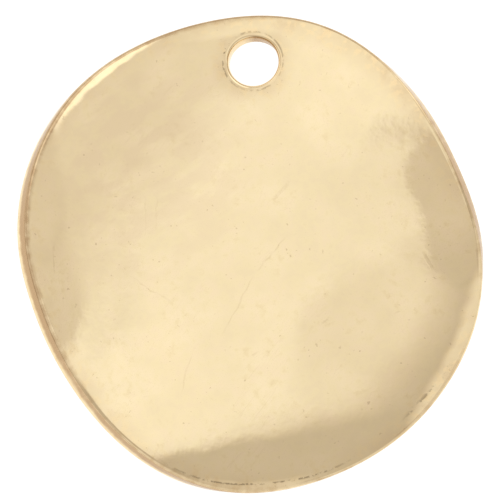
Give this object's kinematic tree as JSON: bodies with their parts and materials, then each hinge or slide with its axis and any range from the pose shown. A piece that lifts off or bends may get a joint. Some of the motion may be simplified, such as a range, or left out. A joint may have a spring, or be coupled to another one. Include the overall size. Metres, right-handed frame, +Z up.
{
  "type": "disc pendant",
  "caption": "Wavy round disc pendant of polished gold-toned sheet metal, saddle-bent, with a chamfered jump-ring hole near its edge.",
  "frame": {"origin": "middle of the disc's plan box, on the surface that it lies on", "axes": "+Z up from that surface, +Y from the middle of the disc towards the hole, +X to the right as pictured"},
  "size_m": [0.0196, 0.0202, 0.0064],
  "materials": {
    "disc": "polished, lightly scratched"
  },
  "bodies": {
    "root": {"disc": "disc"}
  },
  "joints": []
}
